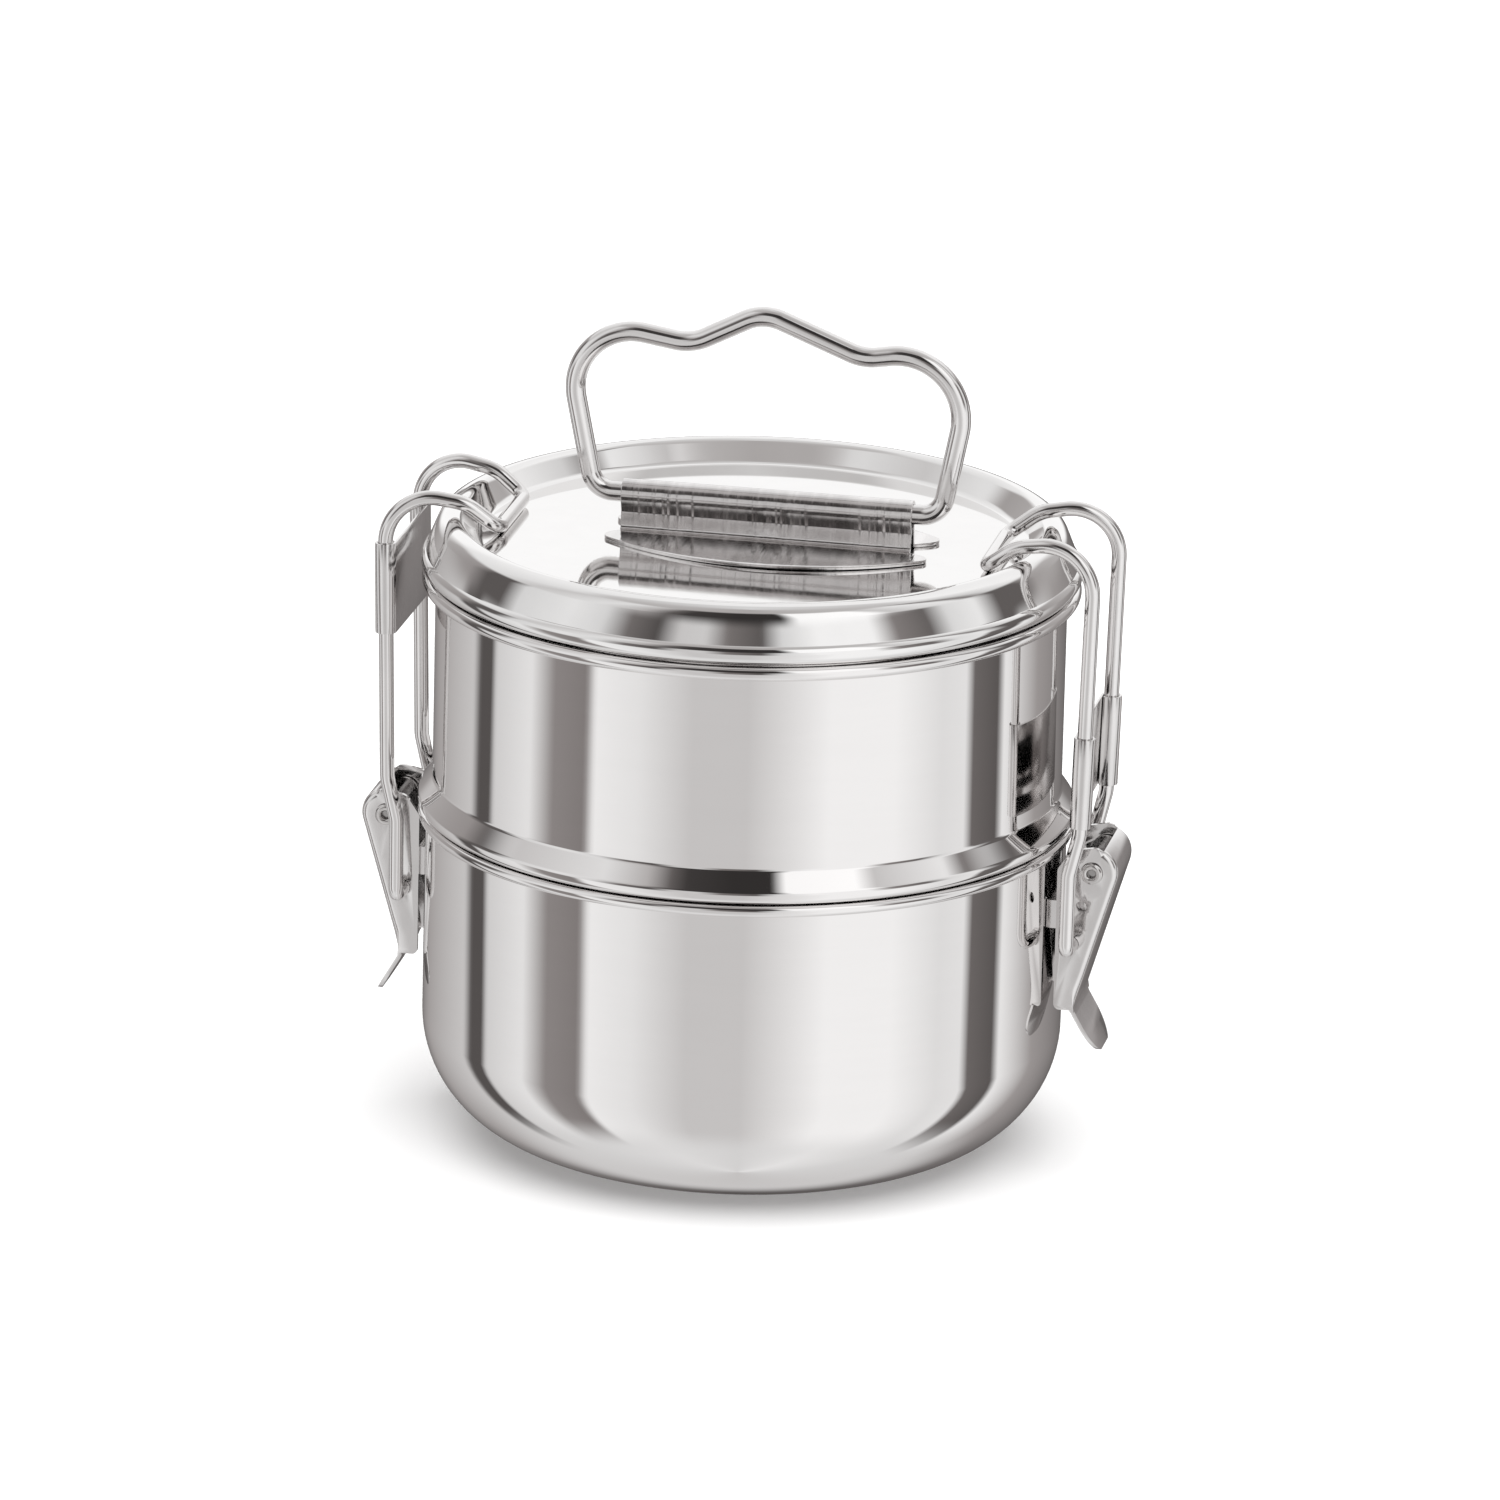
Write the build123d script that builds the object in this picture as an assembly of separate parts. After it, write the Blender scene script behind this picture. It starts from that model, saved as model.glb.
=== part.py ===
from build123d import *
import math
import os

# Two-tier tiffin carrier, millimetres, +Z up, origin at the centre of the base.
# X runs through the two side latches, Y is the depth.

os.makedirs("parts", exist_ok=True)

# ---------------------------------------------------------------- dimensions
T = 0.7                     # sheet thickness of bowls and lid

LOW_R = 64.3                # lower bowl, outer wall radius
LOW_CORNER = 24.0           # lower bowl, outer radius between base and wall
LOW_RIM_Z = 66.9            # top of the lower bowl's rolled rim
LOW_BEAD = 1.2              # radius of the lower bowl's rolled rim
LOW_BEAD_R = 64.6           # radius at which that rim's centre lies

UP_R = 63.0                 # upper bowl, outer wall radius
UP_SPIGOT_R = 62.2          # stepped base that nests in the lower bowl
UP_BASE_Z = 59.8            # underside of the upper bowl
UP_CORNER = 6.0             # corner radius of that base
UP_COLLAR_Z = 67.15        # underside of the flared collar
UP_COLLAR_R = 65.9          # outer radius of the flared collar
UP_RIM_Z = 115.5            # top of the upper bowl's rolled rim
UP_BEAD = 1.45              # radius of that rolled rim
UP_BEAD_R = 64.3            # radius at which its centre lies

LID_EDGE = 2.15             # radius of the lid's curled edge
LID_EDGE_R = 63.8           # radius at which the curl's centre lies
LID_EDGE_Z = 117.95         # height of the curl's centre
LID_TOP_Z = 127.0           # top of the lid's raised ring
LID_PANEL_Z = 122.6         # top face of the recessed panel
LID_LIP_R = 61.7            # outer radius of the locating lip
LID_LIP_Z = 110.9           # lower end of the locating lip

WIRE_R = 1.5                # latch wire radius
LEG_Y = 15.25               # half spacing of the latch wire's legs
PIVOT_X, PIVOT_Z = 72.0, 61.7       # latch pivot
WIRE_DX, WIRE_DZ = -3.7, -15.0      # wire eye in the lever, from the pivot

EAR_Y, EAR_T = 7.8, 0.8     # bracket ears: outer half width and thickness
CHEEK_Y, LEVER_T = 9.0, 0.8 # lever cheeks: outer half width and thickness
RIVET_R = 1.6               # rivet shank radius
RUN = 0.06                  # running clearance on the radius

KEEP_H = 18.6               # height of a wire keeper
KEEP_T = 0.6                # its sheet thickness
KEEP_LEFT_Z = 111.2         # left keeper, at its upper stop
KEEP_RIGHT_Z = 82.4         # right keeper, at its lower stop

HANDLE_R = 2.0              # carry handle wire radius
HANDLE_X = 2.9              # the handle sits this far right of the centre
HANDLE_Z = 130.3            # height of the handle's hinge line
BARREL_R = 2.75             # outer radius of the saddle's barrel
BARREL_HALF = 29.4          # half length of the saddle's barrel


# ------------------------------------------------------------------- helpers
def rounded(points):
    """Closed outline from (x, y, radius) corners, as a face in XY."""
    n = len(points)
    edges, first, last = [], None, None
    for i in range(n):
        x0, y0, _ = points[i - 1]
        x1, y1, r = points[i]
        x2, y2, _ = points[(i + 1) % n]
        a = (x0 - x1, y0 - y1)
        b = (x2 - x1, y2 - y1)
        la, lb = math.hypot(*a), math.hypot(*b)
        a, b = (a[0] / la, a[1] / la), (b[0] / lb, b[1] / lb)
        dot = max(-1.0, min(1.0, a[0] * b[0] + a[1] * b[1]))
        half = math.acos(dot) / 2
        if r <= 0 or half > math.pi / 2 - 1e-4:
            p = q = (x1, y1)
        else:
            d = r / math.tan(half)
            p = (x1 + a[0] * d, y1 + a[1] * d)
            q = (x1 + b[0] * d, y1 + b[1] * d)
            m = (a[0] + b[0], a[1] + b[1])
            lm = math.hypot(*m)
            c = r / math.sin(half) - r
            mid = (x1 + m[0] / lm * c, y1 + m[1] / lm * c)
        if last is None:
            first = p
        else:
            edges.append(Line(last, p))
        if p != q:
            edges.append(ThreePointArc(p, mid, q))
        last = q
    if math.hypot(last[0] - first[0], last[1] - first[1]) > 1e-6:
        edges.append(Line(last, first))
    return make_face(edges)


def sheet(path, t):
    """Outline of a bent sheet: path holds (x, y, middle radius), t its thickness."""
    n = len(path)
    left, right = [], []
    for i, (x, y, r) in enumerate(path):
        def unit(j, k):
            dx, dy = path[k][0] - path[j][0], path[k][1] - path[j][1]
            d = math.hypot(dx, dy)
            return dx / d, dy / d
        if i == 0:
            u = v = unit(0, 1)
        elif i == n - 1:
            u = v = unit(n - 2, n - 1)
        else:
            u, v = unit(i - 1, i), unit(i, i + 1)
        nx, ny = -u[1] - v[1], u[0] + v[0]
        ln = math.hypot(nx, ny)
        nx, ny = nx / ln, ny / ln
        s = (t / 2) / (nx * -u[1] + ny * u[0])
        turn = u[0] * v[1] - u[1] * v[0]
        side = 0 if abs(turn) < 1e-9 else math.copysign(1, turn)
        left.append((x + nx * s, y + ny * s, max(0, r - side * t / 2) if r else 0))
        right.append((x - nx * s, y - ny * s, max(0, r + side * t / 2) if r else 0))
    return rounded(left + right[::-1])


def turned(face):
    """Revolve an outline drawn as (radius, height) about Z."""
    return revolve(Plane.XZ * face, Axis.Z)


def disc(r, cx, cy):
    return Pos(cx, cy) * Circle(r)


def upright(face, y, depth):
    """Outline drawn as (x, z), extruded along +Y from y."""
    return extrude(Plane((0, y, 0), x_dir=(1, 0, 0), z_dir=(0, -1, 0)) * face, -depth)


def rod_y(r, x, z, y0, y1):
    return Pos(x, (y0 + y1) / 2, z) * Rot(90, 0, 0) * Cylinder(r, y1 - y0)


def tube(points, radii, r):
    path = FilletPolyline(*points, radius=radii)
    edge = path.edges().sort_by_distance(points[0])[0]
    section = Plane(path @ 0, z_dir=path % 0) * Circle(r)
    return sweep(section, path)


def one(shape):
    parts = shape.solids() if hasattr(shape, "solids") else [shape]
    return parts[0] if len(parts) == 1 else Compound(children=list(parts))


nodes = {}

# ---------------------------------------------------------------- lower bowl
h = T / 2
wall = sheet(
    [(0, h, 0), (LOW_R - h, h, LOW_CORNER - h), (LOW_R - h, LOW_RIM_Z - LOW_BEAD, 0)], T
)
low = wall + disc(LOW_BEAD, LOW_BEAD_R, LOW_RIM_Z - LOW_BEAD)
nodes["lower_bowl"] = turned(low)

# ---------------------------------------------------------------- upper bowl
cz = UP_COLLAR_Z + h
up = sheet(
    [
        (0, UP_BASE_Z + h, 0),
        (UP_SPIGOT_R - h, UP_BASE_Z + h, UP_CORNER - h),
        (UP_SPIGOT_R - h, cz, 0.8),
        (UP_COLLAR_R - h, cz, 1.15),
        (UP_COLLAR_R - h, cz + 1.9, 1.3),
        (UP_R - h, 73.4, 1.8),
        (UP_R - h, UP_RIM_Z - UP_BEAD, 0),
    ],
    T,
)
up += disc(UP_BEAD, UP_BEAD_R, UP_RIM_Z - UP_BEAD)
nodes["upper_bowl"] = turned(up)

# ----------------------------------------------------------------------- lid
panel = LID_PANEL_Z - h
lid = sheet(
    [
        (0, panel, 0),
        (54.8, panel, 2.4),
        (58.7, LID_TOP_Z - 0.1, 2.0),
        (62.0, LID_TOP_Z - 0.75, 3.2),
        (64.9, LID_EDGE_Z + 1.3, 0),
    ],
    T,
)
lid += disc(LID_EDGE, LID_EDGE_R, LID_EDGE_Z)
lid -= disc(LID_EDGE - T, LID_EDGE_R, LID_EDGE_Z)
lid += sheet(
    [(LID_EDGE_R - 0.6, LID_EDGE_Z - LID_EDGE + h, 0),
     (LID_LIP_R - h, LID_EDGE_Z - LID_EDGE + h, 0.6),
     (LID_LIP_R - h, LID_LIP_Z, 0)],
    T,
)
nodes["lid"] = turned(lid)

# -------------------------------------------------------------- handle saddle
# One sheet folded over the handle wire, pinched below it and turned out into two
# flat flanges that lie on the panel, front and back alike.
foot_z = LID_PANEL_Z + 0.02
ST = 0.7
section = disc(BARREL_R, 0, HANDLE_Z) - Pos(0, HANDLE_Z - 3.2) * Rectangle(8, 4)
for s in (-1, 1):
    section += sheet(
        [(s * 2.3, HANDLE_Z - 1.0, 0),
         (s * 1.55, HANDLE_Z - 3.5, 1.5),
         (s * 1.95, foot_z + ST / 2, 1.3),
         (s * 22.0, foot_z + ST / 2, 0)],
        ST,
    )
section -= disc(HANDLE_R + RUN, 0, HANDLE_Z)
saddle = extrude(
    Plane((-40, 0, 0), x_dir=(0, 1, 0), z_dir=(1, 0, 0)) * section, 80
)
FLANGE = [(29.4, -2.9), (31.4, -3.6), (32.0, -8.5)]     # flange end, front right
FLANGE_Y = 20.3                                         # flange reach at the middle
plan = make_face([
    Line(FLANGE[0], FLANGE[1]), Line(FLANGE[1], FLANGE[2]),
    ThreePointArc(FLANGE[2], (0, -FLANGE_Y), (-FLANGE[2][0], FLANGE[2][1])),
    Line((-FLANGE[2][0], FLANGE[2][1]), (-FLANGE[1][0], FLANGE[1][1])),
    Line((-FLANGE[1][0], FLANGE[1][1]), (-FLANGE[0][0], FLANGE[0][1])),
    Line((-FLANGE[0][0], FLANGE[0][1]), FLANGE[0]),
])
barrel_zone = Pos(0, 0, HANDLE_Z) * Box(2 * BARREL_HALF, 5.81, 20)
foot_zone = Pos(1.1, 0, foot_z - 1) * extrude(plan, 12)
saddle = saddle & (barrel_zone + foot_zone + mirror(foot_zone, Plane.XZ))
nodes["handle_saddle"] = Pos(HANDLE_X, 0, 0) * saddle

# --------------------------------------------------------------- carry handle
rail = [(-1.0, 130.3), (-35.4, 130.3), (-42.8, 166.0), (-16.2, 161.9), (-1.8, 169.4),
        (18.6, 161.5), (41.6, 165.5), (35.0, 130.3), (1.0, 130.3)]
pts = [(HANDLE_X + x, 0, z) for x, z in rail]
radii = [4.8, 12.0, 10.0, 9.0, 10.0, 12.5, 4.8]
nodes["carry_handle"] = tube(pts, radii, HANDLE_R)


# --------------------------------------------------------------------- latch
def polar(r, deg):
    a = math.radians(deg)
    return r * math.cos(a), r * math.sin(a)


def bracket():
    """Clevis welded to the bowl: a formed back plate and two ears."""
    a = polar(2.9, 147)
    b = polar(2.9, -32)
    ear = [
        (-7.9, -7.0, 0), (-7.9, -12.4, 0), (-5.2, -12.4, 1.2),
        (b[0] - 0.3, b[1] - 0.3, 0), (0.5, 0.5, 0), (a[0], a[1], 0),
    ]
    outline = rounded([(-8.2, -12.4, 0), (-4.6, -12.4, 2.0), (b[0], b[1], 0),
                       (0, 0, 0), (a[0], a[1], 0), (-6.4, -6.6, 0.8), (-8.2, -6.6, 0)])
    outline += Circle(2.9)
    outline = Pos(PIVOT_X, PIVOT_Z) * outline
    ears = upright(outline, EAR_Y - EAR_T, EAR_T) + upright(outline, -EAR_Y, EAR_T)
    plate = Pos(PIVOT_X - 7.4, 0, PIVOT_Z - 9.5) * Box(1.8, 2 * EAR_Y, 5.8)
    body = ears + plate
    body -= rod_y(RIVET_R + 0.02, PIVOT_X, PIVOT_Z, -12, 12)
    body -= Pos(0, 0, 50) * Cylinder(LOW_R, 60)
    return body


def rivet():
    """Tubular rivet with a rolled ring head at each end."""
    y = CHEEK_Y + 0.1
    body = rod_y(RIVET_R, PIVOT_X, PIVOT_Z, -y - 0.6, y + 0.6)
    for s in (-1, 1):
        head = rod_y(2.2, PIVOT_X, PIVOT_Z, min(s * y, s * (y + 0.7)), max(s * y, s * (y + 0.7)))
        outer = head.edges().filter_by(GeomType.CIRCLE).sort_by(Axis.Y)
        head = fillet([outer[0] if s < 0 else outer[-1]], 0.3)
        body += head
    return body - rod_y(0.8, PIVOT_X, PIVOT_Z, -20, 20)


def lever():
    """Pressed channel lever: back sheet curled over the pivot, two cheeks, thumb tab."""
    R, t = 5.2, LEVER_T
    rm = R - t / 2
    foot = (-3.1, -29.0)
    # tangent from the curl to the foot of the back
    d = math.hypot(*foot)
    base = math.degrees(math.atan2(foot[1], foot[0]))
    tang = base + math.degrees(math.acos(R / d))
    to = polar(R, tang)
    ux, uz = foot[0] - to[0], foot[1] - to[1]
    lu = math.hypot(ux, uz)
    ux, uz = ux / lu, uz / lu
    nx, nz = -polar(1, tang)[0], -polar(1, tang)[1]
    end = 64.0
    o0, i0 = polar(R, end), polar(R - t, end)
    om, im = polar(R, (end + tang) / 2), polar(R - t, (end + tang) / 2)
    ti = polar(R - t, tang)
    fi = (foot[0] + nx * t, foot[1] + nz * t)
    tip = (2.3, -38.3)
    tx, tz = tip[0] - foot[0], tip[1] - foot[1]
    lt = math.hypot(tx, tz)
    px, pz = tz / lt * t, -tx / lt * t
    back = make_face([
        ThreePointArc(o0, om, to), Line(to, foot), Line(foot, tip),
        Line(tip, (tip[0] + px, tip[1] + pz)),
        Line((tip[0] + px, tip[1] + pz), fi), Line(fi, ti),
        ThreePointArc(ti, im, i0), Line(i0, o0),
    ])
    back = Pos(PIVOT_X, PIVOT_Z) * back
    plate = upright(back, -CHEEK_Y, 2 * CHEEK_Y)
    # rounded thumb tab outline, seen from outside
    tab_w = 8.0
    keep = Pos(PIVOT_X, 0, PIVOT_Z) * (
        Pos(0, 0, -12) * Box(30, 2 * CHEEK_Y, 35)
    )
    z_top = PIVOT_Z - 29.4
    outline = rounded([(-tab_w, z_top + 0.2, 0), (-tab_w, PIVOT_Z - 38.4, 6.0),
                       (tab_w, PIVOT_Z - 38.4, 6.0), (tab_w, z_top + 0.2, 0)])
    tab_zone = extrude(Plane((PIVOT_X - 20, 0, 0), x_dir=(0, 1, 0), z_dir=(1, 0, 0)) * outline, 40)
    plate = plate & (keep + tab_zone)
    cheek = rounded([
        (o0[0], o0[1], 0), (0.6, 5.35, 2.5), (-4.2, 4.4, 2.6), (-6.9, 0.4, 1.6),
        (-6.9, -29.0, 1.2), (foot[0], foot[1], 0), (to[0], to[1], 0),
    ])
    cheek += make_face([ThreePointArc(o0, om, to), Line(to, o0)])
    cheek -= Pos(0, 0) * Circle(RIVET_R + RUN)
    cheek -= Pos(WIRE_DX, WIRE_DZ) * Circle(WIRE_R + RUN)
    cheek -= Pos(-1.9, -7.05) * Circle(1.1)
    cheek = Pos(PIVOT_X, PIVOT_Z) * cheek
    body = plate + upright(cheek, CHEEK_Y - t, t) + upright(cheek, -CHEEK_Y, t)
    return body


BX, BZ = PIVOT_X + WIRE_DX, PIVOT_Z + WIRE_DZ
LEG_X0, LEG_Z0 = 70.4, 71.6          # foot of the straight leg
LEG_X1, LEG_Z1 = 71.4, 119.0         # top of the straight leg


def leg_x(z):
    return LEG_X0 + (LEG_X1 - LEG_X0) * (z - LEG_Z0) / (LEG_Z1 - LEG_Z0)


def wire_points():
    half = [
        (BX, CHEEK_Y - LEVER_T - 0.6, BZ),
        (BX, LEG_Y, BZ),
        (BX + 0.1, LEG_Y, 63.0),
        (LEG_X0, LEG_Y, LEG_Z0),
        (leg_x(131.7), LEG_Y, 131.7),
        (55.5, 13.1, 129.1),
        (49.2, 12.0, 124.23),
    ]
    radii = [2.4, 6.0, 8.0, 9.4, 9.0, 3.0]
    near = [(x, -y, z) for x, y, z in half]
    return near + half[::-1], radii + radii[::-1]


def keeper(z):
    """Plate curled round both legs of the latch wire, on the bowl's side."""
    cx = leg_x(z)
    ri, ro = WIRE_R + RUN, WIRE_R + RUN + KEEP_T
    face = Sketch()
    for s in (-1, 1):
        face += disc(ro, 0, s * LEG_Y)
    face += Pos(-(ri + KEEP_T / 2), 0) * Rectangle(KEEP_T, 2 * LEG_Y)
    for s in (-1, 1):
        face -= disc(ri, 0, s * LEG_Y)
        # seam left open on the inner side of each curl
        face -= Pos(-0.75, s * (LEG_Y - ri - 0.2)) * Rectangle(1.0, 1.4)
    tilt = math.degrees(math.atan2(LEG_X1 - LEG_X0, LEG_Z1 - LEG_Z0))
    body = extrude(face, KEEP_H / 2, both=True)
    return Pos(cx, 0, z) * Rot(0, tilt, 0) * body


pts, rad = wire_points()
loop = tube(pts, rad, WIRE_R)
right = {
    "latch_bracket_right": bracket(),
    "pivot_rivet_right": rivet(),
    "latch_lever_right": lever(),
    "wire_loop_right": loop,
    "wire_keeper_right": keeper(KEEP_RIGHT_Z),
}
left = {
    "latch_bracket_left": right["latch_bracket_right"],
    "pivot_rivet_left": right["pivot_rivet_right"],
    "latch_lever_left": right["latch_lever_right"],
    "wire_loop_left": loop,
    "wire_keeper_left": keeper(KEEP_LEFT_Z),
}
nodes.update(right)
nodes.update({k: Rot(0, 0, 180) * v for k, v in left.items()})

for name, shape in nodes.items():
    export_step(one(shape), f"parts/{name}.step")
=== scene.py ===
import math
import bpy
import bmesh
from mathutils import Vector, Matrix


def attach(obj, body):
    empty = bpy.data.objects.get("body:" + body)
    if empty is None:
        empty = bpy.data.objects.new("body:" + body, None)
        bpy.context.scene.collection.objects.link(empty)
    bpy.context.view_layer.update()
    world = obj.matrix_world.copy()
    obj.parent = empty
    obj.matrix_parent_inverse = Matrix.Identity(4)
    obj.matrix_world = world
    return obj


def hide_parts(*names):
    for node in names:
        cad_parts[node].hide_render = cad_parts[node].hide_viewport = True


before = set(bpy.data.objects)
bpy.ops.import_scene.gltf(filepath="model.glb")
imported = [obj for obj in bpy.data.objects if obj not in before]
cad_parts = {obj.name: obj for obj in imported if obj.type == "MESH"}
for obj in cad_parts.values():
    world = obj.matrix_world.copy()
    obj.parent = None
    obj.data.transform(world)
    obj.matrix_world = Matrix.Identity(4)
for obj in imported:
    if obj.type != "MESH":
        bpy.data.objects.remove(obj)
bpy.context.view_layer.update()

MM = 0.001
scene = bpy.context.scene
scene.view_settings.view_transform = "Standard"
scene.view_settings.look = "None"

CAM_AZ, CAM_EL, CAM_ROLL = 11.16, 17.22, 1.376
CAM_D, CAM_F, CAM_Z, CAM_TX = 2.400, 11995.0, 0.07865, -2.24


# ================================================================ materials
def ramp(nt, stops, interp="LINEAR"):
    r = nt.nodes.new("ShaderNodeValToRGB")
    cr = r.color_ramp
    cr.interpolation = interp
    while len(cr.elements) > 1:
        cr.elements.remove(cr.elements[-1])
    cr.elements[0].position = stops[0][0]
    c = stops[0][1]
    cr.elements[0].color = (c, c, c, 1) if not isinstance(c, tuple) else (*c, 1)
    for p, c in stops[1:]:
        e = cr.elements.new(p)
        e.color = (c, c, c, 1) if not isinstance(c, tuple) else (*c, 1)
    return r


def steel(name, base, rough, scale, stretch, bump, dirt=0.0, dirt_scale=60.0, crease_shade=0.0,
          dirt_stretch=(1, 1, 1)):
    """Stainless steel: fine drawn or polished lines in roughness and bump, faint handling haze; optional painted shade
    darkening concave creases.
    """
    m = bpy.data.materials.new(name)
    m.use_nodes = True
    nt = m.node_tree
    N, L = nt.nodes, nt.links
    bsdf = N["Principled BSDF"]
    bsdf.inputs["Metallic"].default_value = 1.0
    tc = N.new("ShaderNodeTexCoord")
    mp = N.new("ShaderNodeMapping")
    mp.inputs["Scale"].default_value = stretch
    L.new(tc.outputs["Object"], mp.inputs["Vector"])
    lines = N.new("ShaderNodeTexNoise")
    lines.inputs["Scale"].default_value = scale
    lines.inputs["Detail"].default_value = 5.0
    lines.inputs["Roughness"].default_value = 0.6
    L.new(mp.outputs["Vector"], lines.inputs["Vector"])
    haze = N.new("ShaderNodeTexNoise")
    haze.inputs["Scale"].default_value = dirt_scale
    haze.inputs["Detail"].default_value = 4.0
    mp2 = N.new("ShaderNodeMapping")
    mp2.inputs["Scale"].default_value = dirt_stretch
    L.new(tc.outputs["Object"], mp2.inputs["Vector"])
    L.new(mp2.outputs["Vector"], haze.inputs["Vector"])
    # roughness = drawn lines * haze
    r1 = ramp(nt, [(0.25, rough[0]), (0.75, rough[1])])
    L.new(lines.outputs["Fac"], r1.inputs["Fac"])
    r2 = ramp(nt, [(0.35, 0.8), (0.7, 1.35)])
    L.new(haze.outputs["Fac"], r2.inputs["Fac"])
    mul = N.new("ShaderNodeMath"); mul.operation = "MULTIPLY"
    L.new(r1.outputs["Color"], mul.inputs[0])
    L.new(r2.outputs["Color"], mul.inputs[1])
    L.new(mul.outputs[0], bsdf.inputs["Roughness"])
    # colour: base with slightly darker smears
    dark = tuple(c * (1 - dirt) for c in base)
    c1 = ramp(nt, [(0.30, dark), (0.62, base)])
    mixf = N.new("ShaderNodeMath"); mixf.operation = "MULTIPLY_ADD"
    mixf.inputs[1].default_value = 0.55
    L.new(lines.outputs["Fac"], mixf.inputs[0])
    half = N.new("ShaderNodeMath"); half.operation = "MULTIPLY"
    half.inputs[1].default_value = 0.45
    L.new(haze.outputs["Fac"], half.inputs[0])
    L.new(half.outputs[0], mixf.inputs[2])
    L.new(mixf.outputs[0], c1.inputs["Fac"])
    out_col = c1.outputs["Color"]
    # painted shade: base colour darkened where the surface is concave (low pointiness), in creases and hollows
    if crease_shade:
        geo = N.new("ShaderNodeNewGeometry")
        crease_shade_ramp = ramp(nt, [(0.44, 1.0 - crease_shade), (0.5, 1.0), (0.56, min(1.0, 1.0))])
        L.new(geo.outputs["Pointiness"], crease_shade_ramp.inputs["Fac"])
        mx = N.new("ShaderNodeMix"); mx.data_type = "RGBA"; mx.blend_type = "MULTIPLY"
        mx.inputs["Factor"].default_value = 1.0
        L.new(out_col, mx.inputs[6])
        L.new(crease_shade_ramp.outputs["Color"], mx.inputs[7])
        out_col = mx.outputs[2]
    L.new(out_col, bsdf.inputs["Base Color"])
    bp = N.new("ShaderNodeBump")
    bp.inputs["Strength"].default_value = bump
    bp.inputs["Distance"].default_value = 0.0001
    L.new(lines.outputs["Fac"], bp.inputs["Height"])
    L.new(bp.outputs["Normal"], bsdf.inputs["Normal"])
    return m


# saddle, press and rivet take a last value: the depth of painted shade in their concave creases
MAT = {
    "bowl": steel("bowl_steel_polish", (0.835, 0.82, 0.815), (0.020, 0.045), 160.0,
                  (0.25, 0.25, 2.0), 0.002, 0.02, 22.0),
    "lid": steel("lid_steel_polish", (0.85, 0.84, 0.835), (0.025, 0.055), 180.0,
                 (1.0, 1.0, 1.0), 0.004, 0.03, 26.0),
    "saddle": steel("saddle_steel_drawn", (0.86, 0.84, 0.835), (0.07, 0.22), 210.0,
                    (1.8, 0.06, 0.06), 1.0, 0.28, 90.0, 0.25, (1.6, 0.12, 0.12)),
    "press": steel("pressed_steel_satin", (0.80, 0.785, 0.78), (0.10, 0.20), 240.0,
                   (0.6, 0.6, 0.25), 0.18, 0.14, 90.0, 0.25),
    "wire": steel("wire_steel_drawn", (0.82, 0.805, 0.80), (0.05, 0.11), 220.0,
                  (0.5, 0.5, 0.5), 0.05, 0.08, 70.0),
    "rivet": steel("rivet_steel_rolled", (0.72, 0.70, 0.69), (0.12, 0.24), 420.0,
                   (1.0, 1.0, 1.0), 0.15, 0.22, 160.0, 0.35),
}


# ================================================================ mesh tools
def finish_mesh(name, bm, mat, body, nodes, sharp=35.0):
    me = bpy.data.meshes.new(name)
    bmesh.ops.recalc_face_normals(bm, faces=bm.faces)
    bm.to_mesh(me)
    bm.free()
    ob = bpy.data.objects.new(name, me)
    scene.collection.objects.link(ob)
    me.materials.append(MAT[mat])
    for p in me.polygons:
        p.use_smooth = True
    me.set_sharp_from_angle(angle=math.radians(sharp))
    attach(ob, body)
    if nodes:
        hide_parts(*nodes)
    return ob


def arc2(cx, cy, r, a0, a1, n):
    return [(cx + r * math.cos(math.radians(a0 + (a1 - a0) * i / n)),
             cy + r * math.sin(math.radians(a0 + (a1 - a0) * i / n))) for i in range(n + 1)]


def fillet2(points, n=10):
    """Open polyline of (x, y, r) with rounded corners, as (x, y) points."""
    out = [(points[0][0], points[0][1])]
    for i in range(1, len(points) - 1):
        p, a, b = (Vector(points[i][:2]), Vector(points[i - 1][:2]), Vector(points[i + 1][:2]))
        r = points[i][2]
        u, v = (a - p).normalized(), (b - p).normalized()
        half = math.acos(max(-1, min(1, u.dot(v)))) / 2
        if r <= 1e-6 or half > math.pi / 2 - 1e-3:
            out.append(tuple(p))
            continue
        d = r / math.tan(half)
        c = p + (u + v).normalized() * (r / math.sin(half))
        s, e = p + u * d, p + v * d
        sa, ea = s - c, e - c
        ang = sa.angle(ea)
        k = max(2, int(n * ang / (math.pi / 2)) + 1)
        for j in range(k + 1):
            t = j / k
            q = (math.sin((1 - t) * ang) * sa + math.sin(t * ang) * ea) / math.sin(ang)
            out.append(tuple(c + q))
    out.append((points[-1][0], points[-1][1]))
    return out


def fillet3(points, radii, n=14):
    pts = [Vector(p) for p in points]
    out = [pts[0]]
    for i in range(1, len(pts) - 1):
        p = pts[i]
        u, v = (pts[i - 1] - p).normalized(), (pts[i + 1] - p).normalized()
        half = math.acos(max(-1, min(1, u.dot(v)))) / 2
        r = radii[i - 1]
        if half > math.pi / 2 - 1e-3:
            out.append(p)
            continue
        d = r / math.tan(half)
        c = p + (u + v).normalized() * (r / math.sin(half))
        sa, ea = p + u * d - c, p + v * d - c
        ang = sa.angle(ea)
        k = max(3, int(n * ang / (math.pi / 2)) + 1)
        for j in range(k + 1):
            t = j / k
            out.append(c + (math.sin((1 - t) * ang) * sa + math.sin(t * ang) * ea) / math.sin(ang))
    out.append(pts[-1])
    return out


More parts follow.
